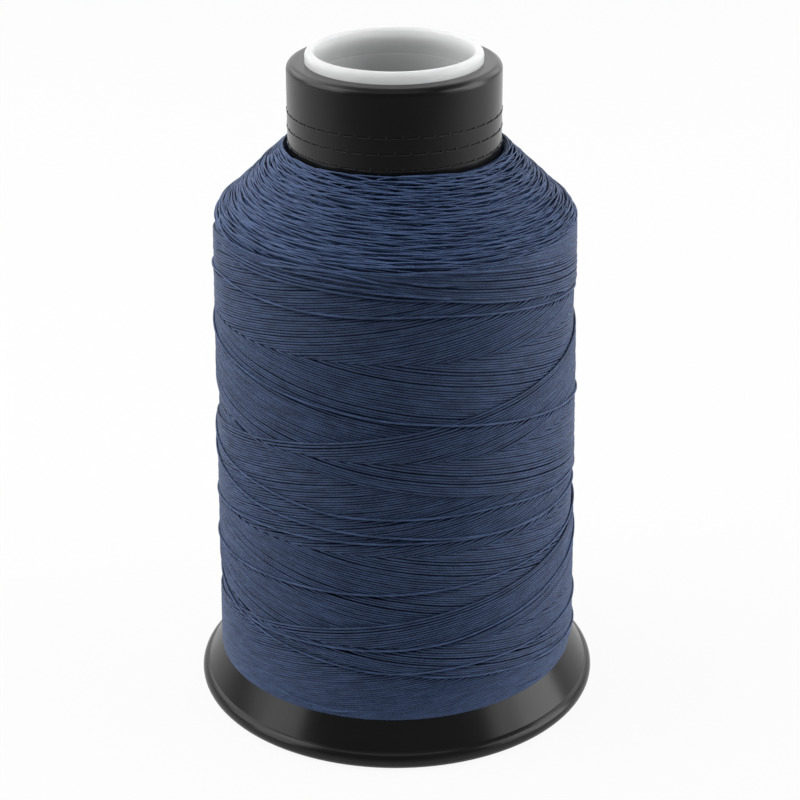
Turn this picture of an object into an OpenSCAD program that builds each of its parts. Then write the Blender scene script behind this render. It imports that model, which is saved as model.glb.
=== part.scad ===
// Industrial spool of sewing thread. A moulded core of three pieces, the barrel, the base
// flange and the rim ring, carries a tapered pack of thread with a conical shoulder.
// Millimetres, +Z up, origin at the centre of the foot.

/* [Overall] */
// Height of the spool, from its foot to the top of the rim ring
overall_h = 132; // [120:1:160]

/* [Barrel] */
// Outside diameter of the barrel and its neck
barrel_d = 40.4; // [39:0.2:44]
// Wall of the barrel
barrel_wall = 2.2; // [1.6:0.1:2.6]
// Depth of the thick collar under the barrel's top face
collar_h = 18; // [17:1:24]
// Radius of the rounded edge round the top of the neck
neck_edge_r = 1.4; // [0.4:0.1:1.8]

/* [Grip marks] */
// Rows of grip marks round the neck
mark_rows = 3; // [1:1:4]
// Grip marks in one row
mark_count = 43; // [24:1:50]
// Depth of the first row below the barrel's top face
mark_drop = 9.1; // [5:0.1:10]
// Distance from one row of grip marks to the next
mark_pitch = 3.05; // [1.5:0.05:3.5]
// Gap between two marks of a row
mark_gap = 0.7; // [0.4:0.1:1.5]
// Width of the groove of a grip mark
mark_w = 0.3; // [0.2:0.05:0.6]
// Depth of the groove of a grip mark
mark_depth = 0.2; // [0.1:0.05:0.4]

/* [Base flange] */
// Diameter over the rim of the base flange
base_d = 80.8; // [78:0.1:92]
// Wall of the base flange
base_wall = 2.2; // [1.8:0.1:2.6]
// Radius of the rounded rim below its widest place
foot_round = 1.7; // [1.2:0.1:1.7]
// Width of the flat foot ring under the rim
foot_w = 1.2; // [1:0.1:2]
// Height of the rim's widest place
rim_h = 1.7; // [1.7:0.05:3]
// Radius of the rounded lip above the rim's widest place
lip_round = 2; // [1.4:0.1:2.4]
// Distance that the lip stands proud of the cone's face
lip_proud = 0.45; // [0.2:0.05:0.7]
// Slope of the cone to the horizontal, in degrees
cone_angle = 60; // [54:0.5:62]
// Height of the flat deck inside the cone
deck_h = 12; // [10:0.5:14]
// Wall of the hub that holds the barrel
hub_wall = 2; // [1.6:0.1:3]
// Height of the hub's lower end above the foot
hub_rise = 0.6; // [0.3:0.1:1.5]
// Thickness of the hub's inward lip, on which the barrel stands
hub_lip_t = 2.5; // [1.5:0.1:4]
// Diameter of the opening through the hub's lip
base_bore_d = 34; // [31:0.5:35]
// Thickness of the round stiffening rib under the deck
rib_t = 1.6; // [1:0.1:2.4]
// Height of the rib's lower edge above the foot
rib_rise = 2; // [1:0.1:4]

/* [Rim ring] */
// Outside diameter of the rim ring
ring_d = 33.4; // [33.2:0.1:34.5]
// Height of the rim ring, most of which is inside the neck
ring_h = 15; // [12:0.5:17]
// Height that the rim ring stands proud of the barrel
ring_proud = 2.1; // [1.6:0.1:3]
// Diameter of the rim ring's bore, which takes the spindle
spindle_bore_d = 29.6; // [28:0.1:29.8]
// Depth of the wider mouth of the bore
mouth_h = 5; // [4:0.1:7]
// Width of the ledge round the foot of the mouth
mouth_step = 0.2; // [0.1:0.05:0.3]
// Radius of the outer edge of the rim ring
ring_edge_r = 1; // [0.4:0.1:1.1]
// Radius of the lip at the mouth of the bore
ring_lip_r = 0.6; // [0.2:0.1:0.7]
// Step from the ring's bore out to the collar's bore
collar_step = 0.4; // [0.2:0.1:1]

/* [Thread pack] */
// Diameter of the pack at its lower edge
pack_foot_d = 72.9; // [68:0.1:75]
// Diameter of the pack just under its shoulder
pack_top_d = 70; // [64:0.1:74]
// Distance from the barrel's top face down to where the shoulder reaches the neck
shoulder_drop = 14.8; // [10:0.1:20]
// Slope of the shoulder to the horizontal, in degrees
shoulder_angle = 44.5; // [30:0.5:50]
// Radius that rounds the shoulder into the body
shoulder_r = 6; // [4:0.5:12]
// Width of the crevice between the pack's upper edge and the neck
crevice_w = 0.9; // [0.5:0.1:2]
// Width of the crevice at its foot
crevice_foot_w = 0.6; // [0.4:0.1:1.5]
// Depth of the crevice between the pack's upper edge and the neck
crevice_h = 2.2; // [1:0.1:4]

/* [Outer winding] */
// Loops of the outer layer, which is a flat band of threads lying side by side
loops = 23.5; // [12.5:1:23.5]
// Thickness of the outer layer
layer_t = 0.9; // [0.6:0.05:1.4]
// Gap between neighbouring loops
loop_gap = 0.6; // [0.5:0.05:1]
// Width of the bevel along each edge of the outer layer
edge_bevel = 0.8; // [0.4:0.1:1.2]

/* [Fits] */
// Radial clearance of the rim ring and of the hub round the barrel, both pressed home
press_clear = 0.05; // [0.02:0.01:0.1]
// Clearance between the thread and what it lies on
thread_clear = 0.1; // [0.05:0.05:0.3]

/* [Hidden] */
$fn = 96;
arc_steps = 6;
// Rings of the band in one loop, and the side of the spool on which the band starts
loop_rings = 24;
winding_start = 180;

barrel_r = barrel_d / 2;
barrel_top = overall_h - ring_proud;
ring_seat_h = overall_h - ring_h;
collar_bore_r = spindle_bore_d / 2 + collar_step;
barrel_foot_h = hub_rise + hub_lip_t;

rim_r = base_d / 2;
hub_bore_r = barrel_r + press_clear;
hub_r = hub_bore_r + hub_wall;
foot_inner_r = rim_r - foot_round - foot_w;
rib_r = (hub_r + foot_inner_r) / 2;
lip_centre_r = rim_r - lip_round;
lip_rise = (lip_round - lip_proud) / cos(cone_angle);
// Angle at which the lip's arc runs into the cone
lip_turn = 90 - cone_angle + acos(1 - lip_proud / lip_round);

// Height of the flange's cone at radius r
function cone_h(r) = rim_h + lip_rise + (lip_centre_r - r) * tan(cone_angle);
// Radius of the flange's cone at height h
function cone_r(h) = lip_centre_r - (h - rim_h - lip_rise) / tan(cone_angle);
// Height of the thread's seat on the flange at radius r, on the cone or on the deck inside it
function seat_h(r) = min(cone_h(r), deck_h) + thread_clear;
// Points of an arc about a centre, from one angle to another
function arc(centre, r, from, to) =
    [for (i = [0 : arc_steps])
        let (a = from + (to - from) * i / arc_steps)
        centre + r * [cos(a), sin(a)]];

// The pack's outer skin is a line up the body, a round corner and a line up the shoulder.
// It is followed by the distance s along it, from the lower edge.
skin_foot = [pack_foot_d / 2, seat_h(pack_foot_d / 2)];
skin_end_r = barrel_r + crevice_w;
skin_corner = [pack_top_d / 2,
    barrel_top - shoulder_drop - (pack_top_d / 2 - barrel_r) * tan(shoulder_angle)];
skin_end = skin_corner + (pack_top_d / 2 - skin_end_r) * [-1, tan(shoulder_angle)];
body_run = skin_corner - skin_foot;
body_tilt = atan2(body_run[1], body_run[0]);
shoulder_tilt = 180 - shoulder_angle;
corner_turn = shoulder_tilt - body_tilt;
corner_cut = shoulder_r * tan(corner_turn / 2);
body_len = norm(body_run) - corner_cut;
corner_len = shoulder_r * corner_turn * PI / 180;
shoulder_len = norm(skin_end - skin_corner) - corner_cut;
skin_len = body_len + corner_len + shoulder_len;
corner_start = skin_foot + body_len * [cos(body_tilt), sin(body_tilt)];
corner_centre = corner_start + shoulder_r * inward(body_tilt);
shoulder_start = corner_centre - shoulder_r * inward(shoulder_tilt);

// Unit vector at a right angle to a tilt, towards the inside of the pack
function inward(tilt) = [-sin(tilt), cos(tilt)];
// Tilt of the skin at distance s
function skin_tilt(s) =
    s < body_len ? body_tilt
    : s < body_len + corner_len ? body_tilt + (s - body_len) / corner_len * corner_turn
    : shoulder_tilt;
// Point of the skin at distance s
function skin_at(s) =
    s < body_len ? skin_foot + s * [cos(body_tilt), sin(body_tilt)]
    : s < body_len + corner_len ? corner_centre - shoulder_r * inward(skin_tilt(s))
    : shoulder_start
        + (s - body_len - corner_len) * [cos(shoulder_tilt), sin(shoulder_tilt)];

// Each loop has straight sides, so the core lies under the middle of its flats
flat_sag = pack_foot_d / 2 * (1 - cos(180 / loop_rings));
core_inset = layer_t + flat_sag + thread_clear;
core_foot_r = skin_foot[0] - core_inset;

// Lowest place of the band, where the edge and the inner corner of its flats clear the cone
winding_foot = thread_clear + max((layer_t / 2 + flat_sag) * tan(cone_angle),
    (layer_t + flat_sag) * tan(cone_angle) - edge_bevel);
loop_pitch = (skin_len - thread_clear - winding_foot + loop_gap) / (loops + 1);
band_w = loop_pitch - loop_gap;
// Section of the band, along the skin and out from it, with bevelled edges
band_section = [[-band_w / 2, 0], [-band_w / 2 + edge_bevel, layer_t / 2],
    [band_w / 2 - edge_bevel, layer_t / 2], [band_w / 2, 0],
    [band_w / 2 - edge_bevel, -layer_t / 2], [-band_w / 2 + edge_bevel, -layer_t / 2]];
sides = len(band_section);

// One ring of the band: its place along the winding in loops, and a straight run beyond it
function band_ring(turn, run) =
    let (s = winding_foot + band_w / 2 + turn * loop_pitch,
        tilt = skin_tilt(s),
        mid = skin_at(s) + layer_t / 2 * inward(tilt),
        a = winding_start + 360 * turn,
        radial = [cos(a), sin(a), 0],
        ahead = [-sin(a), cos(a), 0],
        up = [0, 0, 1])
    [for (p = band_section)
        let (q = mid + p[0] * [cos(tilt), sin(tilt)] - p[1] * inward(tilt))
        q[0] * radial + q[1] * up + run * ahead];

winding_rings = concat(
    [band_ring(0, -band_w)],
    [for (i = [0 : loops * loop_rings]) band_ring(i / loop_rings, 0)],
    [band_ring(loops, band_w)]);

// Least distance between the corners of rings that are about one loop apart
winding_gap = min([for (i = [0 : len(winding_rings) - loop_rings - 1])
    for (j = [i + loop_rings - 2 : min(i + loop_rings + 2, len(winding_rings) - 1)])
        for (p = winding_rings[i]) for (q = winding_rings[j]) norm(p - q)]);

module revolved(outline) rotate_extrude() polygon(outline);

module grip_mark(row, place) {
    mark_angle = 360 / mark_count;
    gap_angle = mark_gap / barrel_r * 180 / PI;
    rotate([0, 0, (place + row / 2) * mark_angle])
        rotate_extrude(angle = mark_angle - gap_angle)
            translate([barrel_r - mark_depth, barrel_top - mark_drop - row * mark_pitch])
                square([2 * mark_depth, mark_w]);
}

module spool_barrel() {
    inner_r = barrel_r - barrel_wall;
    collar_foot_h = barrel_top - collar_h;
    color("#1c1c1e")
    difference() {
        revolved(concat(
            [[inner_r, barrel_foot_h], [barrel_r, barrel_foot_h]],
            arc([barrel_r - neck_edge_r, barrel_top - neck_edge_r], neck_edge_r, 0, 90),
            [[ring_d / 2 + press_clear, barrel_top], [ring_d / 2 + press_clear, ring_seat_h],
            [collar_bore_r, ring_seat_h], [collar_bore_r, collar_foot_h],
            [inner_r, collar_foot_h - (inner_r - collar_bore_r)]]));
        for (row = [0 : mark_rows - 1])
            for (place = [0 : mark_count - 1])
                grip_mark(row, place);
    }
}

module base_flange() {
    under_deck_h = deck_h - base_wall;
    under_cone_drop = base_wall / cos(cone_angle);
    color("#151517")
    union() {
        revolved(concat(
            [[foot_inner_r, 0]],
            arc([rim_r - foot_round, foot_round], foot_round, -90, 0),
            arc([lip_centre_r, rim_h], lip_round, 0, lip_turn),
            [[cone_r(deck_h), deck_h], [hub_bore_r, deck_h], [hub_bore_r, barrel_foot_h],
            [base_bore_d / 2, barrel_foot_h], [base_bore_d / 2, hub_rise], [hub_r, hub_rise],
            [hub_r, under_deck_h], [cone_r(under_deck_h + under_cone_drop), under_deck_h],
            [foot_inner_r, cone_h(foot_inner_r) - under_cone_drop]]));
        revolved([[rib_r - rib_t / 2, rib_rise], [rib_r + rib_t / 2, rib_rise],
            [rib_r + rib_t / 2, under_deck_h + rib_t / 2],
            [rib_r - rib_t / 2, under_deck_h + rib_t / 2]]);
    }
}

module rim_ring() {
    bore_r = spindle_bore_d / 2;
    mouth_r = bore_r + mouth_step;
    color("#e6e7e8")
    revolved(concat(
        [[bore_r, ring_seat_h], [ring_d / 2, ring_seat_h]],
        arc([ring_d / 2 - ring_edge_r, overall_h - ring_edge_r], ring_edge_r, 0, 90),
        arc([mouth_r + ring_lip_r, overall_h - ring_lip_r], ring_lip_r, 90, 180),
        [[mouth_r, overall_h - mouth_h], [bore_r, overall_h - mouth_h]]));
}

module thread_pack() {
    core_bore_r = barrel_r + thread_clear;
    deck_edge_r = cone_r(deck_h);
    corner_inset_steps = [for (i = [0 : arc_steps]) body_len + corner_len * i / arc_steps];
    core_end = skin_end + core_inset * inward(shoulder_tilt);
    crevice_foot_h = core_end[1] - crevice_h;
    color("#1c2d4d")
    revolved(concat(
        [[core_bore_r, seat_h(core_bore_r)]],
        deck_edge_r < core_foot_r ? [[deck_edge_r, seat_h(deck_edge_r)]] : [],
        [[core_foot_r, seat_h(core_foot_r)]],
        [for (s = corner_inset_steps) skin_at(s) + core_inset * inward(skin_tilt(s))],
        [core_end, [barrel_r + crevice_foot_w, crevice_foot_h], [core_bore_r, crevice_foot_h]]));
}

module thread_winding() {
    last = len(winding_rings) - 1;
    color("#314b7a")
    polyhedron(
        points = [for (ring = winding_rings) for (p = ring) p],
        faces = concat(
            [for (i = [0 : last - 1]) for (k = [0 : sides - 1])
                let (n = (k + 1) % sides)
                each [[i * sides + k, i * sides + n, (i + 1) * sides + n],
                    [i * sides + k, (i + 1) * sides + n, (i + 1) * sides + k]]],
            [for (k = [1 : sides - 2]) [0, k + 1, k]],
            [for (k = [1 : sides - 2]) [last * sides, last * sides + k, last * sides + k + 1]]));
}

echo("least gap between loops of the winding, mm", winding_gap);

spool_barrel();
base_flange();
rim_ring();
thread_pack();
thread_winding();
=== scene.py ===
"""Dressed model of an industrial spool of thread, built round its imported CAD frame.

The core's three moulded pieces keep their CAD shape. The thread is laid as real strands: passes
that climb and fall between two turning points, each pass over the one before it. Places on the
thread's skin are given by an angle round the spool (degrees, 0 at the front, growing to the
right) and by s, the distance along the skin from its lower edge. Lengths are millimetres unless
a name says otherwise; meshes are written in metres.
"""

import math

import bpy
import numpy as np
from mathutils import Matrix, Vector

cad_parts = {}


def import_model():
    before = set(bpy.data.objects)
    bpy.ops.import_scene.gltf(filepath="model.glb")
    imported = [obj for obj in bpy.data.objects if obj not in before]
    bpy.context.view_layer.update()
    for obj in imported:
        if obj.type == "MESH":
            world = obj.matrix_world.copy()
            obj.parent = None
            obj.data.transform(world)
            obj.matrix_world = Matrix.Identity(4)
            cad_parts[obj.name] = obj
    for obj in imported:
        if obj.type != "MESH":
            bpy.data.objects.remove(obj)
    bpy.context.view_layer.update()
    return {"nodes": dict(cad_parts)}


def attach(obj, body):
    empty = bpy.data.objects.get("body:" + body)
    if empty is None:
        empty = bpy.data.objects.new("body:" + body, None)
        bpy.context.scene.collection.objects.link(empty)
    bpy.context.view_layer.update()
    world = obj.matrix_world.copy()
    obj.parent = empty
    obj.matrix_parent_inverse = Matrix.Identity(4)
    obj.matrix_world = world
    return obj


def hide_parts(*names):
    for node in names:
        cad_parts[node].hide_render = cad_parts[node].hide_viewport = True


MM = 0.001

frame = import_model()
NODES = frame["nodes"]
scene = bpy.context.scene
rng = np.random.default_rng(20)


# ---------------------------------------------------------------- the thread's skin
# A line up the body, a round corner and a line up the shoulder, as in the CAD model
BARREL_R, NECK_TOP = 20.2, 129.9
FOOT_R, FOOT_H = 36.45, 8.277
CORNER_R, SHOULDER_END_R = 35.0, 21.1
SHOULDER_ANGLE, CORNER_ROUND = math.radians(44.5), 6.0
SHOULDER_DROP = 14.8
DECK_H, DECK_EDGE_R = 12.0, 34.2

corner_h = NECK_TOP - SHOULDER_DROP - (CORNER_R - BARREL_R) * math.tan(SHOULDER_ANGLE)
body_vec = np.array([CORNER_R - FOOT_R, corner_h - FOOT_H])
body_tilt = math.atan2(body_vec[1], body_vec[0])
shoulder_tilt = math.pi - SHOULDER_ANGLE
corner_cut = CORNER_ROUND * math.tan((shoulder_tilt - body_tilt) / 2)
BODY_LEN = float(np.hypot(*body_vec)) - corner_cut
CORNER_LEN = CORNER_ROUND * (shoulder_tilt - body_tilt)
SHOULDER_LEN = (CORNER_R - SHOULDER_END_R) / math.cos(SHOULDER_ANGLE) - corner_cut
SKIN_LEN = BODY_LEN + CORNER_LEN + SHOULDER_LEN


def skin(s):
    """Radius, height and tilt of the skin at distances s."""
    s = np.asarray(s, float)
    turn = np.clip((s - BODY_LEN) / CORNER_LEN, 0, 1)
    tilt = body_tilt + turn * (shoulder_tilt - body_tilt)
    below = np.minimum(s, BODY_LEN)
    beyond = np.maximum(s - BODY_LEN - CORNER_LEN, 0)
    bend_r = CORNER_ROUND * (np.sin(tilt) - math.sin(body_tilt))
    bend_h = -CORNER_ROUND * (np.cos(tilt) - math.cos(body_tilt))
    r = FOOT_R + below * math.cos(body_tilt) + bend_r + beyond * math.cos(shoulder_tilt)
    h = FOOT_H + below * math.sin(body_tilt) + bend_h + beyond * math.sin(shoulder_tilt)
    return r, h, tilt


def on_skin(angle, s, lift):
    """Points at an angle and distance s, lifted off the skin, and the skin's outward normals."""
    r, h, tilt = skin(s)
    a = np.radians(angle)
    out_r, out_h = np.sin(tilt), -np.cos(tilt)
    r, h = r + lift * out_r, h + lift * out_h
    place = np.stack([r * np.sin(a), -r * np.cos(a), h], -1)
    normal = np.stack([out_r * np.sin(a), -out_r * np.cos(a), out_h], -1)
    return place, normal


def eased(x, low, high):
    """0 below low, 1 above high, smooth between."""
    t = np.clip((np.asarray(x, float) - low) / (high - low), 0, 1)
    return t * t * (3 - 2 * t)


def wander(phase, x, size, spans=(37.0, 71.0, 113.0)):
    """A slow smooth waver along a strand, of about the given size."""
    return size * sum(
        np.sin(2 * np.pi * (x / span + phase * (i + 1.7))) / (i + 1.5)
        for i, span in enumerate(spans)
    )


# ---------------------------------------------------------------- strands as tubes
STRAND = 0.5  # thickness of the modelled thread
SIDES = 6
FLAP = 1.15  # height of one row of the unrolled map, as a share of a strand's girth
MAP_SHIFT = 50.0  # most by which a strand's start is shifted along the material's map


class Strands:
    """Collects closed tubes and writes them as one mesh.

    One map layer runs along and round each strand, for the material. The other unrolls all
    strands into rows that overlap nowhere, for baking.
    """

    def __init__(self):
        self.points, self.quads, self.caps, self.along, self.unrolled = [], [], [], [], []
        self.ends, self.count, self.laid, self.longest = [], 0, 0.0, 0.0

    def add(self, angle, s, lift, width=STRAND, thick=STRAND):
        """Lay one strand through the given places, closed at both ends."""
        place, normal = on_skin(angle, s, lift)
        ahead = np.gradient(place, axis=0)
        ahead /= np.linalg.norm(ahead, axis=1, keepdims=True)
        side = np.cross(normal, ahead)
        side /= np.linalg.norm(side, axis=1, keepdims=True)
        normal = np.cross(ahead, side)
        rings = len(place)
        turn = 2 * np.pi * (np.arange(SIDES) + 0.5) / SIDES
        half_w = np.broadcast_to(np.asarray(width, float) / 2, rings)[:, None, None]
        half_t = np.broadcast_to(np.asarray(thick, float) / 2, rings)[:, None, None]
        points = (
            place[:, None]
            + half_t * normal[:, None] * np.cos(turn)[None, :, None]
            + half_w * side[:, None] * np.sin(turn)[None, :, None]
        )
        first = self.count + np.arange(rings - 1)[:, None] * SIDES
        j = np.arange(SIDES)[None, :]
        k = (j + 1) % SIDES
        quads = np.stack([first + j, first + k, first + SIDES + k, first + SIDES + j], -1)
        run = np.concatenate([[0], np.cumsum(np.linalg.norm(np.diff(place, axis=0), axis=1))])
        shape = (rings - 1, SIDES)
        u0 = np.broadcast_to(run[:-1, None], shape)
        u1 = np.broadcast_to(run[1:, None], shape)
        v0 = np.broadcast_to(j / SIDES, shape)
        v1 = v0 + 1 / SIDES
        ahead_by = rng.uniform(0, MAP_SHIFT)
        corners = np.stack([u0, v0, u0, v1, u1, v1, u1, v0], -1)
        self.along.append((corners + [ahead_by, 0] * 4).reshape(-1, 2))
        self.unrolled.append(
            np.column_stack([corners.reshape(-1, 2), np.full(corners.size // 2, self.laid)])
        )
        self.ends += [self.laid, self.laid]
        self.laid += run[-1]
        self.longest = max(self.longest, run[-1])
        self.points.append(points.reshape(-1, 3))
        self.quads.append(quads.reshape(-1, 4))
        last = self.count + (rings - 1) * SIDES
        self.caps.append(np.arange(self.count, self.count + SIDES)[::-1])
        self.caps.append(np.arange(last, last + SIDES))
        self.count += rings * SIDES

    def rows(self, corners):
        """Place of each corner in the unrolled map, from its u, its v and its strand's start."""
        girth = math.pi * STRAND
        row_h = girth * FLAP
        row_w = math.sqrt(self.laid * row_h)
        row, inset = np.divmod(corners[:, 2], row_w)
        total_rows = math.floor(self.laid / row_w) + 1
        u = (inset + corners[:, 0]) / (row_w + self.longest)
        v = (row * row_h + corners[:, 1] * girth) / (total_rows * row_h)
        return np.column_stack([u, v])

    def build(self, name):
        """Write the strands as one mesh object."""
        quads = np.concatenate(self.quads)
        caps = np.array(self.caps)
        me = bpy.data.meshes.new(name)
        me.vertices.add(self.count)
        me.vertices.foreach_set("co", (np.concatenate(self.points) * MM).ravel())
        corners = np.concatenate([quads.ravel(), caps.ravel()])
        me.loops.add(len(corners))
        me.loops.foreach_set("vertex_index", corners)
        sizes = np.concatenate([np.full(len(quads), 4), np.full(len(caps), SIDES)])
        me.polygons.add(len(sizes))
        me.polygons.foreach_set("loop_start", np.concatenate([[0], np.cumsum(sizes)[:-1]]))
        me.polygons.foreach_set("use_smooth", np.ones(len(sizes), bool))
        me.update(calc_edges=True)
        along = np.concatenate([*self.along, np.zeros((caps.size, 2))])
        cap_starts = np.zeros((caps.size, 3))
        cap_starts[:, 2] = np.repeat(self.ends, SIDES)
        unrolled = self.rows(np.concatenate([*self.unrolled, cap_starts]))
        for layer, uv in (("along_strand", along), ("OFBake", unrolled)):
            me.uv_layers.new(name=layer).data.foreach_set("uv", uv.ravel())
        me.validate()
        ob = bpy.data.objects.new(name, me)
        scene.collection.objects.link(ob)
        return ob


# ---------------------------------------------------------------- strands that stand proud
# Strands of the last passes that strayed off their neighbours, as (angle, s) along each
STRAYS = [
    [(-150, 75.5), (-88, 82.7), (-68, 84.2), (-28, 83.7), (5, 84.1), (20, 83.6), (40, 82.2),
     (68, 80.0), (95, 77.3), (140, 72.5)],
    [(-120, 74), (-73, 69.8), (-38, 66.8), (0, 63.5), (12, 62.8), (42, 60.3), (77, 57.3),
     (120, 53)],
    [(-110, 50.5), (-73, 47.3), (-43, 45.6), (-18, 43.8), (32, 43.8), (77, 40.8), (110, 38)],
    [(-110, 47), (-73, 43.8), (-48, 41.6), (0, 40.1), (32, 38.3), (77, 37.8), (110, 35)],
    [(-110, 32.5), (-73, 35.8), (-48, 37.6), (-18, 38.6), (7, 38.8), (32, 38.3), (60, 37.5)],
    [(-115, 23), (-78, 26), (-43, 27.3), (0, 28), (32, 29.3), (77, 30.8), (115, 33.5)],
    [(-60, 15.2), (-38, 15.8), (0, 16.2), (17, 17.3), (42, 20.3), (77, 24.8), (115, 29)],
    [(-115, 20), (-73, 16.3), (-48, 14.3), (-6, 11), (32, 11.8), (77, 11.8), (115, 11)],
    [(2, 10.8), (32, 8.3), (77, 5.3), (110, 3)],
    [(130, 64), (165, 60.5), (200, 57.5), (235, 53)],
    [(120, 86), (155, 83.2), (190, 80.8), (225, 77)],
    [(125, 17), (160, 20.5), (200, 23.8), (240, 29)],
    [(135, 40), (170, 42.4), (205, 43.3), (240, 42)],
]
# Strands that turn at the top of the newest passes
TURNS = [
    [(-60, 88.75), (-22, 88.5), (0, 87.5), (17, 86.75), (23, 85.9), (30, 85.2), (50, 83.3)],
    [(-73, 88.6), (-64, 89.65), (-30, 89.2), (-14, 89.1), (5, 88.3), (22, 86.6)],
    [(-72, 89.9), (-60, 90.35), (-42, 90.0), (-12, 89.5), (0, 88.8)],
    [(-48, 90.5), (-38, 91.4), (-26, 92.1), (-16, 92.0), (-5, 90.7), (0, 90.0)],
    [(-42, 90.8), (-24, 91.1), (-8, 90.2), (0, 89.6)],
    [(-33, 91.2), (-20, 91.6), (-12, 90.9)],
    [(-80, 94), (-65, 92.5), (-51, 90.8)],
    [(-63, 93.6), (-54, 94.0), (-36, 93.0)],
    [(0, 91.2), (10, 90.0), (20, 89.5)],
    [(0, 92), (10, 92.4), (30, 91.2), (50, 89.3), (60, 88.2)],
    [(53, 83.1), (60, 82.3), (76, 80)],
    [(150, 91.6), (172, 90.3), (195, 91.3)],
    [(205, 89.4), (228, 91.2), (252, 89.8)],
]
# Short loose runs along the pack's lower edge
FOOT_RUNS = [
    [(-45, 2.9), (-30, 2.2), (-12, 1.2)],
    [(-32, 1.1), (-20, 1.5), (-8, 2.4)],
    [(34, 2.8), (46, 1.9), (60, 1.0)],
    [(150, 2.6), (168, 1.8), (186, 1.2)],
]
TUCK = 10.0  # degrees over which an end goes under its neighbours
TUCK_DEPTH = 1.3  # how deep it goes, in strands
STRAY_SIZE = 0.95  # thickness of a stray, in strands
STRAY_PROUD = 0.3  # how far its middle lies above the surface under it, in strands
TURN_SUNK = 0.06  # how much lower the turns and the foot runs lie
STRAY_WANDER = 0.03
PATH_STEP = 2.0  # degrees between the points of a path
PATH_REACH, GROUND_REACH = 3, 4  # points over which the path and the ground are smoothed


def smoothed(values, reach):
    """Values with a round-topped window of about 2 * reach entries drawn along them."""
    window = np.hanning(2 * reach + 3)[1:-1]
    padded = np.pad(values, reach, mode="edge")
    return np.convolve(padded, window / window.sum(), mode="valid")


def stray_path(stops):
    """Angles and s of a stray strand, rounded between its given stops."""
    stops = np.array(stops, float)
    angle = np.arange(stops[0, 0], stops[-1, 0] + 0.1, PATH_STEP)
    s = np.interp(angle, stops[:, 0], stops[:, 1])
    return angle, smoothed(s, PATH_REACH)


stray_paths = [stray_path(stops) for stops in STRAYS + TURNS + FOOT_RUNS]
PRESSING = len(STRAYS) + len(TURNS)  # the paths that hold down what lies under them
PRESS_DEPTH, PRESS_BELOW, PRESS_REACH = 0.35, 0.45, 0.35


def sunk_by_strays(angle, s):
    """How far a strand of the body sinks just below the strays, which hold it down."""
    sink = np.zeros_like(s)
    for stray_angle, stray_s in stray_paths[:PRESSING]:
        near = (angle - stray_angle[0]) % 360 + stray_angle[0]
        inside = near < stray_angle[-1]
        gap = s - np.interp(near, stray_angle, stray_s) + PRESS_BELOW
        sink = np.maximum(sink, inside * PRESS_DEPTH * np.exp(-((gap / PRESS_REACH) ** 2)))
    return sink


class Surface:
    """Outer surface of what has been laid so far, on a grid of angle and s."""

    STEP_A, STEP_S = 2.0, 0.25
    FINER = 4  # points marked on the grid for each point of a strand

    def __init__(self):
        shape = (int(360 / self.STEP_A), int(SKIN_LEN / self.STEP_S) + 2)
        self.top = np.full(shape, -1.0)

    def cells(self, angle, s):
        """Indices of the grid's cells at angles and distances s."""
        i = np.floor(np.asarray(angle) / self.STEP_A).astype(int) % self.top.shape[0]
        j = np.clip((np.asarray(s) / self.STEP_S).astype(int), 0, self.top.shape[1] - 1)
        return i, j

    def lay(self, angle, s, outer):
        """Raise the surface to a strand's outer line."""
        fine = np.linspace(0, len(s) - 1, self.FINER * len(s))
        at = np.arange(len(s))
        i, j = self.cells(np.interp(fine, at, angle), np.interp(fine, at, s))
        np.maximum.at(self.top, (i, j), np.interp(fine, at, outer))

    def under(self, angle, s):
        """The highest of the cells at, just below and just above each place."""
        i, j = self.cells(angle, s)
        across = [self.top[i, np.clip(j + d, 0, self.top.shape[1] - 1)] for d in (-1, 0, 1)]
        return np.max(across, axis=0)


surface = Surface()


# ---------------------------------------------------------------- the winding
# A pass climbs from a turning point at the foot to one at the top and comes down again. The
# next pass turns a little further to the left, so each turning point wanders round the spool,
# and the newer strands lie over the older ones. Climbing and falling strands cross along
# lines of constant height, where the two directions change places.
PERIOD = 39.0  # climb in one turn round the spool
SLOPE = PERIOD / 360  # climb per degree
FOOT_VERTEX, TOP_VERTEX = -3.24, 94.26  # where the straight runs of a pass would meet
FOOT_ANGLE = 125.5  # place of the newest foot turning point
CLIMB = (TOP_VERTEX - FOOT_VERTEX) / SLOPE  # degrees of one climb
PASSES = 75  # strands in one period, which lie about 0.52 apart
CLOSE, SPACING_JITTER = 0.5, 0.02  # spacing of neighbours before it is fitted to the period
GAP_SHARE, GAP_LOW, GAP_HIGH = 0.08, 0.1, 0.24  # share of wider gaps, and what is added to them
LAST_GAP = 0.3  # spacing left between the oldest pass and the end of the period
FOOT_ROUND, TOP_ROUND = 3.5, 2.3  # how far the turning points are rounded off
HALF_TURN = 180.0
HALF_TURNS = round(CLIMB / HALF_TURN)
SHORTEST = 4.0  # fewest degrees that a run has to show
RUN_IN, RUN_ON = 4.0, 5.0  # degrees by which a run goes on under others at its start and end
STAND_OFF = 0.27  # how far the newest strands stand outside the skin
CROSSING = 2.6  # degrees in which a strand climbs over its neighbours
RING_STEP = 2.5
SMOOTH_BAND = 9.0  # s below which the lowest runs lie flat and close
FLATTER = 0.05  # how much wider a strand is in that band
OFFSET, PROUD, BODY_WANDER = 0.03, 0.03, 0.035  # unevenness of the other strands
TURN_DEPTH = 0.5  # how much deeper a run starts at its turning point, in strands


def spacings():
    """s of each pass behind the newest one, a whole period in all."""
    gaps = CLOSE + rng.normal(0, SPACING_JITTER, PASSES)
    gaps += rng.uniform(GAP_LOW, GAP_HIGH, PASSES) * (rng.random(PASSES) < GAP_SHARE)
    ages = np.cumsum(gaps)
    return ages * PERIOD / (ages[-1] + LAST_GAP)


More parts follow.
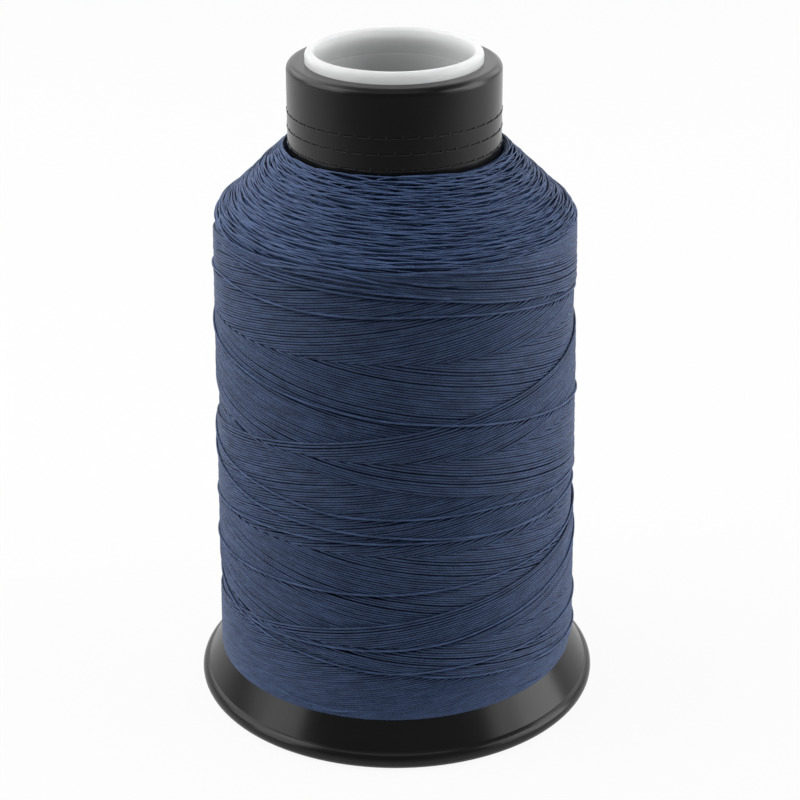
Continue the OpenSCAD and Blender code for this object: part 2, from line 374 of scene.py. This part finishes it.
def pass_s(climbed):
    """s of a pass at an angle from its foot turning point, while it climbs."""
    low, high = climbed * SLOPE, (CLIMB - climbed) * SLOPE
    foot_lift = np.sqrt(low**2 + FOOT_ROUND**2) - low
    top_fall = np.sqrt(high**2 + TOP_ROUND**2) - high
    return FOOT_VERTEX + low + foot_lift - top_fall


def body_strands(falling):
    """The visible runs of all passes in one direction."""
    strands = Strands()
    for age in spacings():
        phase, offset, proud = rng.random(), rng.normal(0, OFFSET), rng.normal(0, PROUD)
        shown = HALF_TURN * (1 - age / PERIOD)
        if shown < SHORTEST:
            continue
        for half in range(HALF_TURNS):
            line = HALF_TURN * half
            low, high = max(line - RUN_IN, 0.0), min(line + shown + RUN_ON, CLIMB)
            near = line + CROSSING * np.array([-1.5, -1.0, -0.5, 0.0, 0.5, 1.0, 1.5])
            far = np.linspace(low, high, int((high - low) / RING_STEP) + 1)
            way = np.unique(np.concatenate([near[near >= low], far[far > near[-1] + 1]]))
            step = way - line
            climbed = CLIMB - way if falling else way
            angle = FOOT_ANGLE + age / SLOPE + way + (CLIMB if falling else 0)
            s = pass_s(climbed)
            loose = eased(s, 0.7 * SMOOTH_BAND, 1.4 * SMOOTH_BAND)
            s = s + loose * (offset + wander(phase, way, BODY_WANDER))
            depth = 2 * age / PERIOD + step * 2 * SLOPE / PERIOD
            depth = depth + 1 - eased(step, -CROSSING, CROSSING)
            depth = depth + TURN_DEPTH * (1 - eased(way, 0, 3 * CROSSING))
            lift = STAND_OFF - STRAND / 2 - STRAND * depth + loose * proud
            lift = lift - sunk_by_strays(angle, s)
            width = STRAND + FLATTER * (1 - loose)
            surface.lay(angle, s, lift + STRAND / 2)
            strands.add(angle, s, lift, width)
    return strands


# ---------------------------------------------------------------- the shoulder
# Above the newest turning points the older ones show: streaks of strands that rise to their
# turn and fall away, each turn a little further round and the rows of them a ridge apart
RIDGE = 1.0  # rise of the turning points in one turn round the spool
TURN_STEP = 7.1  # degrees from one turning point to the next
SHOULDER_START = 92.3
SHOULDER_WIDTH, SHOULDER_THICK = 0.35, 0.42
THINNED = 0.35  # share by which a strand narrows towards its end
OPEN_ANGLE, OPENED = 62.0, 0.36  # the side where narrower strands leave wider gaps
BEFORE_TURN, AFTER_TURN = 12.0, 30.0  # degrees of a strand on either side of its turn
RISEN, SINKS, NARROWS = 4.0, 14.0, 16.0  # degrees from the turn at which each is so or begins
END_DEPTH = 1.2  # how deep the falling end goes under, in strands
CORNER_LIFT, CORNER_MARGIN = 0.3, 2.0  # the strands stand further out round the corner
EDGE_UP, EDGE_SWING, EDGE_ANGLE = 0.3, 0.45, 10.0  # the uneven upper edge
ANGLE_JITTER, HEIGHT_JITTER, LIFT_JITTER, SHOULDER_WANDER = 2.0, 0.13, 0.13, 0.02
DRIFT, DRIFT_REACH = 0.12, 3  # slow change of height from turn to turn
TURN_ROUND, ROUND_SPREAD = 3.0, 0.3  # how far a turn is rounded off, and the spread of it


def slow_noise(count, size, reach):
    """Smooth random values, each like its neighbours over about reach entries."""
    values = smoothed(rng.normal(0, 1, count), reach)
    return size * values / values.std()


def shoulder_strands():
    """Short strands, each from before its turn until it has sunk under the next ones."""
    strands = Strands()
    turns = (SKIN_LEN - SHOULDER_START) / RIDGE
    count = int(turns * 360 / TURN_STEP)
    drift = slow_noise(count, DRIFT, DRIFT_REACH)
    corner_from, corner_to = BODY_LEN + CORNER_MARGIN, BODY_LEN + CORNER_LEN + CORNER_MARGIN
    for k in range(count):
        turned = TURN_STEP * k + rng.normal(0, ANGLE_JITTER)
        apex_angle = FOOT_ANGLE + CLIMB + turned
        swing = EDGE_SWING * math.sin(math.radians(apex_angle - EDGE_ANGLE))
        apex = SHOULDER_START + RIDGE * turned / 360 + rng.normal(0, HEIGHT_JITTER) + drift[k]
        if apex > SKIN_LEN + EDGE_UP + swing:
            continue
        roundness = TURN_ROUND * math.exp(rng.normal(0, ROUND_SPREAD))
        way = np.arange(-BEFORE_TURN, AFTER_TURN + 0.1, RING_STEP)
        s = apex + roundness - np.sqrt((SLOPE * way) ** 2 + roundness**2)
        s = s + wander(rng.random(), way, SHOULDER_WANDER)
        rising = 1 - eased(way, -BEFORE_TURN, -RISEN)
        sunk = STRAND * (rising + END_DEPTH * eased(way, SINKS, AFTER_TURN))
        lift = -STRAND / 2 - sunk + rng.normal(0.0, LIFT_JITTER)
        lift = lift + CORNER_LIFT * (1 - eased(s, corner_from, corner_to))
        open_side = 0.5 + 0.5 * math.cos(math.radians(apex_angle - OPEN_ANGLE))
        width = SHOULDER_WIDTH * (1 - THINNED * eased(way, NARROWS, AFTER_TURN))
        width = width * (1 - OPENED * open_side**4)
        surface.lay(apex_angle + way, s, lift + STRAND / 2)
        strands.add(apex_angle + way, s, lift, width, SHOULDER_THICK)
    return strands


def stray_strands():
    """The strands that stand proud, each laid on the surface of what is under it."""
    strands = Strands()
    lower = [0.0] * len(STRAYS) + [TURN_SUNK] * (len(TURNS) + len(FOOT_RUNS))
    size = STRAY_SIZE * STRAND
    for (angle, s), less in zip(stray_paths, lower):
        ground = surface.under(angle, s)
        end = np.minimum(angle - angle[0], angle[-1] - angle)
        tucked = STRAND * TUCK_DEPTH * (1 - eased(end, 0, TUCK))
        lift = smoothed(ground, GROUND_REACH) + STRAY_PROUD * STRAND - less - tucked
        s = s + wander(rng.random(), angle, STRAY_WANDER)
        strands.add(angle, s, lift, size, size)
    return strands


# ---------------------------------------------------------------- turned and moulded pieces
def lathe(name, outline, steps=144):
    """Closed ring-shaped mesh from an outline of (radius, height) points."""
    outline = np.array(outline, float)
    a = 2 * np.pi * np.arange(steps)[:, None] / steps
    r, h = outline[:, 0], np.broadcast_to(outline[:, 1], (steps, len(outline)))
    points = np.stack([r * np.sin(a), -r * np.cos(a), h], -1).reshape(-1, 3)
    n = len(outline)
    faces = [
        (i * n + j, (i + 1) % steps * n + j, (i + 1) % steps * n + (j + 1) % n, i * n + (j + 1) % n)
        for i in range(steps)
        for j in range(n)
    ]
    me = bpy.data.meshes.new(name)
    me.from_pydata((points * MM).tolist(), [], faces)
    me.polygons.foreach_set("use_smooth", np.ones(len(faces), bool))
    me.update()
    ob = bpy.data.objects.new(name, me)
    scene.collection.objects.link(ob)
    return ob


CORE_INSET, SHOULDER_INSET = 1.1, 0.75  # depths of the plain core under the skin
CORE_CLEAR = 0.1  # how far it stays off the barrel and the flange
CORE_START, CORE_SHORT = 2.2, 0.3  # s at its lower edge, and how far it ends below the skin's end
CORE_LIP, LIP_DROP, BORE_DROP = 0.4, 1.6, 2.0  # the hollow in its top, next to the barrel


def thread_core():
    """The depth of the pack, which shows only as darkness between the strands."""
    round_corner = np.linspace(BODY_LEN, BODY_LEN + CORNER_LEN, 8)
    r, h, tilt = skin(np.concatenate([[CORE_START], round_corner, [SKIN_LEN - CORE_SHORT]]))
    turned = (tilt - body_tilt) / (shoulder_tilt - body_tilt)
    inset = CORE_INSET + turned * (SHOULDER_INSET - CORE_INSET)
    outer = list(zip(r - inset * np.sin(tilt), h + inset * np.cos(tilt)))
    bore = BARREL_R + CORE_CLEAR
    foot = [(bore, DECK_H + CORE_CLEAR), (DECK_EDGE_R, DECK_H + CORE_CLEAR)]
    top_h = outer[-1][1]
    top = [(bore + CORE_LIP, top_h - LIP_DROP), (bore, top_h - BORE_DROP)]
    return lathe("thread_core", foot + outer + top)


# The grip marks' places, as in the CAD model, and the fine raised edges that catch the light
# there: one along each mark, and a short upright tick at its end
MARK_ROWS, MARK_COUNT, MARK_DROP, MARK_PITCH, MARK_GAP = 3, 43, 9.1, 3.05, 0.7
MARK_START = 90  # degrees
RIDGE_LOW, RIDGE_HIGH, RIDGE_PROUD, RIDGE_SUNK = -0.1, 0.14, 0.1, 0.15
RIDGE_SLOPE = 0.3  # share of a ridge's height that its rounded edges take, above and below
TICK_H, TICK_W, TICK_BACK = 0.6, 0.16, 0.2  # the last is a share of the gap between marks


def curved_bar(from_a, to_a, low, high, points, faces):
    """A bar on the barrel between two angles and two heights, narrower on its outer side."""
    first = len(points)
    outer, inner = BARREL_R + RIDGE_PROUD, BARREL_R - RIDGE_SUNK
    slope = RIDGE_SLOPE * (high - low)
    for a in np.radians(np.linspace(from_a, to_a, 4)):
        for r, h in ((inner, low), (outer, low + slope), (outer, high - slope), (inner, high)):
            points.append((r * math.sin(a) * MM, -r * math.cos(a) * MM, h * MM))
    for i in range(3):
        for j in range(4):
            a, b = first + 4 * i + j, first + 4 * i + (j + 1) % 4
            faces.append((a, a + 4, b + 4, b))
    faces.append(tuple(first + j for j in range(4)))
    faces.append(tuple(first + 12 + j for j in (3, 2, 1, 0)))


def grip_ridges():
    """The raised edges of all grip marks, as one piece."""
    points, faces = [], []
    pitch = 360 / MARK_COUNT
    gap = math.degrees(MARK_GAP / BARREL_R)
    tick = math.degrees(TICK_W / BARREL_R)
    for row in range(MARK_ROWS):
        h = NECK_TOP - MARK_DROP - row * MARK_PITCH
        for place in range(MARK_COUNT):
            start = MARK_START + (place + row / 2) * pitch
            end = start + pitch - gap
            curved_bar(start, end, h + RIDGE_LOW, h + RIDGE_HIGH, points, faces)
            upright = end - TICK_BACK * gap
            curved_bar(upright, upright + tick, h, h + TICK_H, points, faces)
    me = bpy.data.meshes.new("grip_ridges")
    me.from_pydata(points, [], faces)
    me.update()
    ob = bpy.data.objects.new("grip_ridges", me)
    scene.collection.objects.link(ob)
    return ob


# ---------------------------------------------------------------- materials
class Nodes:
    """Short calls for one material's or the world's node tree."""

    def __init__(self, tree):
        self.tree = tree

    def new(self, kind, **settings):
        """Add a shader node, with its settings."""
        node = self.tree.nodes.new("ShaderNode" + kind)
        for key, value in settings.items():
            setattr(node, key, value)
        return node

    def link(self, source, target):
        self.tree.links.new(source, target)

    def put(self, value, socket):
        """Link a socket, or write a plain value."""
        if isinstance(value, bpy.types.NodeSocket):
            self.link(value, socket)
        else:
            socket.default_value = value

    def maths(self, operation, a, b=0.0):
        node = self.new("Math", operation=operation)
        self.put(a, node.inputs[0])
        self.put(b, node.inputs[1])
        return node.outputs[0]

    def ramp(self, value, low, high, at_low, at_high, smooth=True):
        """A value mapped from low..high to at_low..at_high, and held beyond them."""
        node = self.new("MapRange", interpolation_type="SMOOTHSTEP" if smooth else "LINEAR")
        for name, x in zip(
            ("Value", "From Min", "From Max", "To Min", "To Max"),
            (value, low, high, at_low, at_high),
        ):
            self.put(x, node.inputs[name])
        return node.outputs["Result"]

    def noise(self, scale, detail=2.0):
        """Noise in the object's own space, in metres."""
        node = self.new("TexNoise")
        node.inputs["Scale"].default_value = scale
        node.inputs["Detail"].default_value = detail
        self.link(self.new("TexCoord").outputs["Object"], node.inputs["Vector"])
        return node.outputs["Fac"]

    def mix(self, factor, a, b):
        node = self.new("Mix", data_type="RGBA")
        self.put(factor, node.inputs["Factor"])
        self.put((*a, 1), node.inputs["A"])
        self.put((*b, 1), node.inputs["B"])
        return node.outputs["Result"]

    def bump(self, height, distance, strength=1.0):
        node = self.new("Bump")
        node.inputs["Distance"].default_value = distance
        node.inputs["Strength"].default_value = strength
        self.link(height, node.inputs["Height"])
        return node.outputs[0]


def surface_material(name):
    """A new material, with its node tree and its shader."""
    mat = bpy.data.materials.new(name)
    mat.use_nodes = True
    return mat, Nodes(mat.node_tree), mat.node_tree.nodes["Principled BSDF"]


PLIES_PER_MM, PLIES = 1.35, 3.0
FULL_TURN = 2 * math.pi
CREST = 0.5 / SIDES  # shift of the map's v that makes it 0 on a strand's outer line
THREAD_DARK, THREAD_LIGHT = (0.0155, 0.029, 0.068), (0.090, 0.145, 0.298)
PLY_SHARE, FILAMENT_SHARE = 0.32, 0.4  # what plies and filaments add from dark to light
FILAMENT_SCALE, GLINT_SCALE, SHADE_SCALE, OWN_SCALE = 2400, 4600, 160, 0.15
# painted glints: bright specks of the light tone added to the base colour where filaments would
# glint
GLINT_FROM, GLINT_FULL, GLINT = 0.64, 0.72, 0.9
SHADE, OWN_SHADE = 0.03, 0.15  # slow change over the spool, and along each strand
FLANK_AT, FLANK_PAINTED_SHADE, CREST_PAINTED_LIGHT = 0.4, -0.25, 0.12  # painted shade on a strand's sides, fading to painted light on its top
MID_LOW, MID_HIGH = 0.3, 0.7  # the range that most of a noise's values lie in
THREAD_ROUGH, THREAD_SMOOTH = 0.62, 0.48


def thread_material(name, lightness=1.0):
    """Bonded thread: three twisted plies, filaments with painted glints, slow changes of tone, and
    painted shade on each strand's flanks with painted light on its crest. A lightness above 1 makes
    a painted lit copy.
    """
    mat, n, bsdf = surface_material(name)
    dark, light = ([lightness * x for x in tone] for tone in (THREAD_DARK, THREAD_LIGHT))
    split = n.new("SeparateXYZ")
    n.link(n.new("UVMap", uv_map="along_strand").outputs["UV"], split.inputs[0])
    along = n.maths("MULTIPLY", split.outputs["X"], PLIES_PER_MM)
    round_it = n.maths("MULTIPLY", split.outputs["Y"], PLIES)
    twist = n.maths("SINE", n.maths("MULTIPLY", n.maths("ADD", along, round_it), FULL_TURN))
    plies = n.ramp(twist, -1.0, 1.0, 0.0, 1.0)
    filaments = n.noise(FILAMENT_SCALE, 3)
    # painted highlight: small glints of the filaments, put into the base colour
    painted_glints = n.ramp(n.noise(GLINT_SCALE, 1), GLINT_FROM, GLINT_FULL, 0.0, GLINT)
    shade = n.noise(SHADE_SCALE, 2)
    own = n.new("TexNoise", noise_dimensions="1D")
    own.inputs["Scale"].default_value = OWN_SCALE
    n.link(split.outputs["X"], own.inputs["W"])
    ply_part = n.maths("MULTIPLY", plies, PLY_SHARE)
    fine = n.maths("ADD", ply_part, n.maths("MULTIPLY", filaments, FILAMENT_SHARE))
    # painted shade and light round each strand: darker on its flanks, lighter on its crest
    round_angle = n.maths("MULTIPLY", n.maths("ADD", split.outputs["Y"], CREST), FULL_TURN)
    outward = n.maths("COSINE", round_angle)
    tone = fine
    for part in (
        n.ramp(shade, MID_LOW, MID_HIGH, -SHADE, SHADE),
        n.ramp(own.outputs["Fac"], MID_LOW, MID_HIGH, -OWN_SHADE, OWN_SHADE),
        n.ramp(outward, FLANK_AT, 1.0, FLANK_PAINTED_SHADE, CREST_PAINTED_LIGHT, smooth=False),
        painted_glints,
    ):
        tone = n.maths("ADD", tone, part)
    n.link(n.mix(tone, dark, light), bsdf.inputs["Base Color"])
    rough = n.ramp(filaments, MID_LOW, MID_HIGH, THREAD_ROUGH, THREAD_SMOOTH)
    n.link(rough, bsdf.inputs["Roughness"])
    bsdf.inputs["Specular IOR Level"].default_value = 0.22
    bsdf.inputs["Sheen Weight"].default_value = 0.07
    bsdf.inputs["Sheen Roughness"].default_value = 0.4
    n.link(n.bump(fine, 0.00005, 0.5), bsdf.inputs["Normal"])
    return mat


def core_material():
    """The dull, dark depth of the pack."""
    mat, n, bsdf = surface_material("thread_depth")
    lie = n.noise(700)
    n.link(n.mix(lie, (0.02, 0.039, 0.098), (0.044, 0.08, 0.19)), bsdf.inputs["Base Color"])
    bsdf.inputs["Roughness"].default_value = 0.8
    bsdf.inputs["Specular IOR Level"].default_value = 0.15
    n.link(n.bump(lie, 0.0002), bsdf.inputs["Normal"])
    return mat


def plastic(name, dark, light, rough, grain, grain_depth, specular=0.5):
    """Moulded plastic with a fine grain and slow changes of gloss and shade."""
    mat, n, bsdf = surface_material(name)
    slow, fine = n.noise(60), n.noise(grain, 4)
    n.link(n.mix(slow, dark, light), bsdf.inputs["Base Color"])
    gloss = n.ramp(slow, MID_LOW, MID_HIGH, 0.85 * rough, 1.15 * rough)
    n.link(gloss, bsdf.inputs["Roughness"])
    bsdf.inputs["Specular IOR Level"].default_value = specular
    n.link(n.bump(fine, grain_depth, 0.6), bsdf.inputs["Normal"])
    return mat


barrel_satin = plastic(
    "barrel_satin", (0.0075, 0.0075, 0.008), (0.0105, 0.0105, 0.011), 0.24, 1800, 0.000012, 0.35
)
flange_gloss = plastic(
    "flange_gloss", (0.009, 0.009, 0.0095), (0.013, 0.013, 0.0135), 0.22, 500, 0.000004, 0.28
)
# painted highlight: the grip ridges are coloured from black to light grey, lighter than the barrel,
# for the light their raised edges catch
ridge_painted_highlight = plastic(
    "ridge_painted_highlight", (0.0, 0.0, 0.0), (0.075, 0.075, 0.078), 0.35, 900, 0.00003, 0.4
)
ring_white = plastic(
    "ring_white", (0.69, 0.70, 0.705), (0.73, 0.735, 0.74), 0.32, 500, 0.000006, 0.3
)
RING_DEPTH = 0.008  # metres that light travels in the ring's translucent plastic
ring_inputs = ring_white.node_tree.nodes["Principled BSDF"].inputs
ring_inputs["Subsurface Weight"].default_value = 1.0
ring_inputs["Subsurface Radius"].default_value = (1.0, 1.0, 1.0)
ring_inputs["Subsurface Scale"].default_value = RING_DEPTH

for node, mat, slot in (
    ("spool_barrel", barrel_satin, "barrel_black"),
    ("base_flange", flange_gloss, "flange_black"),
    ("rim_ring", ring_white, "ring_white"),
):
    NODES[node].data.materials.clear()
    NODES[node].data.materials.append(mat)

bonded_thread = thread_material("bonded_thread")
# painted light: a lighter copy of the thread for the shoulder's strands, which catch more light
shoulder_thread_painted_lit = thread_material("shoulder_thread_painted_lit", 1.4)
# painted light: a lighter copy of the thread for the strays that stand proud and catch more light
stray_thread_painted_lit = thread_material("stray_thread_painted_lit", 1.3)
climbing = body_strands(falling=False).build("strands_climbing")
falling = body_strands(falling=True).build("strands_falling")
shoulder = shoulder_strands().build("strands_shoulder")
strays = stray_strands().build("strands_stray")
core = thread_core()
for piece, mat, slot in (
    (climbing, bonded_thread, "thread_blue"),
    (falling, bonded_thread, "thread_blue"),
    (shoulder, shoulder_thread_painted_lit, "thread_blue"),
    (strays, stray_thread_painted_lit, "thread_blue"),
    (core, core_material(), "thread_blue"),
    (grip_ridges(), ridge_painted_highlight, "barrel_black"),
):
    piece.data.materials.append(mat)
    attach(piece, "root")
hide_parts("thread_winding")
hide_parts("thread_pack")


# ---------------------------------------------------------------- floor, light and camera
FLOOR_HALF = 6.0  # metres
FLOOR_WHITE = 0.83
GLOW_SEEN, GLOW_MIRRORED = 0.92, 0.85  # share of plain white that the camera and gloss see
FRONT_Y, FRONT_LEVEL, MIDDLE_LEVEL = -0.4, 0.2, 0.9  # metres; the floor's level for other rays
BACK_Y, BACK_MORE = 0.2, 0.1


def floor():
    """A white floor that keeps the object's shadow. All but the camera see its front darken."""
    me = bpy.data.meshes.new("floor")
    x = FLOOR_HALF
    me.from_pydata([(-x, -x, 0), (x, -x, 0), (x, x, 0), (-x, x, 0)], [], [(0, 1, 2, 3)])
    ob = bpy.data.objects.new("floor", me)
    scene.collection.objects.link(ob)
    mat = bpy.data.materials.new("floor_white")
    mat.use_nodes = True
    mat.node_tree.nodes.clear()
    n = Nodes(mat.node_tree)
    diffuse, glow, mixed = n.new("BsdfDiffuse"), n.new("Emission"), n.new("MixShader")
    split = n.new("SeparateXYZ")
    n.link(n.new("TexCoord").outputs["Object"], split.inputs[0])
    near = n.ramp(split.outputs["Y"], FRONT_Y, 0.0, FRONT_LEVEL, MIDDLE_LEVEL)
    reach = n.maths("ADD", near, n.ramp(split.outputs["Y"], 0.0, BACK_Y, 0.0, BACK_MORE))
    path = n.new("LightPath")
    seen = path.outputs["Is Camera Ray"]
    white = n.maths("MAXIMUM", seen, reach)
    n.link(white, glow.inputs["Strength"])
    grey = n.maths("MULTIPLY", n.maths("MULTIPLY", white, white), FLOOR_WHITE)
    colour = n.new("CombineXYZ")
    for socket in colour.inputs:
        n.link(grey, socket)
    n.link(colour.outputs[0], diffuse.inputs["Color"])
    glossy, through = path.outputs["Is Glossy Ray"], path.outputs["Is Transmission Ray"]
    mirrored = n.maths("MAXIMUM", glossy, through)
    for_camera = n.maths("MULTIPLY", seen, GLOW_SEEN)
    share = n.maths("MAXIMUM", for_camera, n.maths("MULTIPLY", mirrored, GLOW_MIRRORED))
    n.link(share, mixed.inputs[0])
    n.link(diffuse.outputs[0], mixed.inputs[1])
    n.link(glow.outputs[0], mixed.inputs[2])
    n.link(mixed.outputs[0], n.new("OutputMaterial").inputs[0])
    me.materials.append(mat)


WORLD_FRONT, WORLD_BACK = 0.12, 1.55  # the studio's light from the camera's side and from behind
SIDE_FROM, BACK_RISE = -0.6, 2.5  # where it begins to rise, and how late it does
UP_FROM, UP_FULL, UP_LEVEL = 0.5, 0.9, 0.2  # share of it left overhead
FLAT_LEAST = 0.001  # keeps the division off zero


def world():
    """White to the camera. For light and gloss, a studio that is dim in front and overhead."""
    scene.world = bpy.data.worlds.new("studio")
    scene.world.use_nodes = True
    tree = scene.world.node_tree
    tree.nodes.clear()
    n = Nodes(tree)
    split = n.new("SeparateXYZ")
    n.link(n.new("TexCoord").outputs["Generated"], split.inputs[0])
    x, y, z = split.outputs
    flat = n.maths("SQRT", n.maths("ADD", n.maths("MULTIPLY", x, x), n.maths("MULTIPLY", y, y)))
    facing = n.maths("DIVIDE", y, n.maths("MAXIMUM", flat, FLAT_LEAST))
    rise = n.maths("POWER", n.ramp(facing, SIDE_FROM, 1.0, 0.0, 1.0, smooth=False), BACK_RISE)
    around = n.ramp(rise, 0.0, 1.0, WORLD_FRONT, WORLD_BACK, smooth=False)
    level = n.maths("MULTIPLY", around, n.ramp(z, UP_FROM, UP_FULL, 1.0, UP_LEVEL))
    dim, white, mixed = n.new("Background"), n.new("Background"), n.new("MixShader")
    white.inputs["Color"].default_value = (1, 1, 1, 1)
    n.link(level, dim.inputs["Strength"])
    n.link(n.new("LightPath").outputs["Is Camera Ray"], mixed.inputs[0])
    n.link(dim.outputs[0], mixed.inputs[1])
    n.link(white.outputs[0], mixed.inputs[2])
    n.link(mixed.outputs[0], n.new("OutputWorld").inputs[0])


PANEL_AWAY, PANEL_AIM = 0.9, 0.06  # metres to each softbox, and the height that it is aimed at


def panel(name, azimuth, elevation, size, radiance):
    """A softbox round the object. Azimuth is 0 at the camera's side and grows to the right."""
    a, e = math.radians(azimuth), math.radians(elevation)
    lamp = bpy.data.lights.new(name, "AREA")
    lamp.shape = "RECTANGLE"
    lamp.size, lamp.size_y = size
    lamp.energy = radiance * math.pi * size[0] * size[1]
    ob = bpy.data.objects.new(name, lamp)
    scene.collection.objects.link(ob)
    aim = Vector((0, 0, PANEL_AIM))
    away = Vector((math.cos(e) * math.sin(a), -math.cos(e) * math.cos(a), math.sin(e)))
    ob.location = aim + PANEL_AWAY * away
    ob.rotation_euler = (-away).to_track_quat("-Z", "Y").to_euler()


floor()
world()
panel("box_left_front", -71, 30, (0.43, 0.9), 2.65)
panel("box_left_back", -95, 36, (0.34, 1.0), 2.3)
panel("box_right_front", 66, 22, (0.29, 0.7), 2.3)
panel("box_right_back", 91, 18, (0.5, 0.7), 3.9)
panel("box_far_left", -130, 36, (0.6, 0.6), 1.8)
panel("box_far_right", 130, 30, (0.6, 0.6), 1.2)
panel("box_over_front", 0, 72, (0.8, 0.5), 0.68)

CAMERA_BACK, CAMERA_HEIGHT, CLIP_START = 0.39825, 0.23997, 0.01  # metres
PITCH, YAW, ROLL = (math.radians(x) for x in (24.25, 0.12, -0.21))
SENSOR, FOCAL_PX, FRAME_PX = 36.0, 2198.47, 800
cam_data = bpy.data.cameras.new("camera")
cam_data.sensor_width = SENSOR
cam_data.lens = SENSOR * FOCAL_PX / FRAME_PX
cam_data.clip_start = CLIP_START
camera = bpy.data.objects.new("camera", cam_data)
scene.collection.objects.link(camera)
camera.matrix_world = (
    Matrix.Translation((0, -CAMERA_BACK, CAMERA_HEIGHT))
    @ Matrix.Rotation(-YAW, 4, "Z")
    @ Matrix.Rotation(math.pi / 2 - PITCH, 4, "X")
    @ Matrix.Rotation(ROLL, 4, "Z")
)
scene.camera = camera
scene.view_settings.view_transform = "Standard"
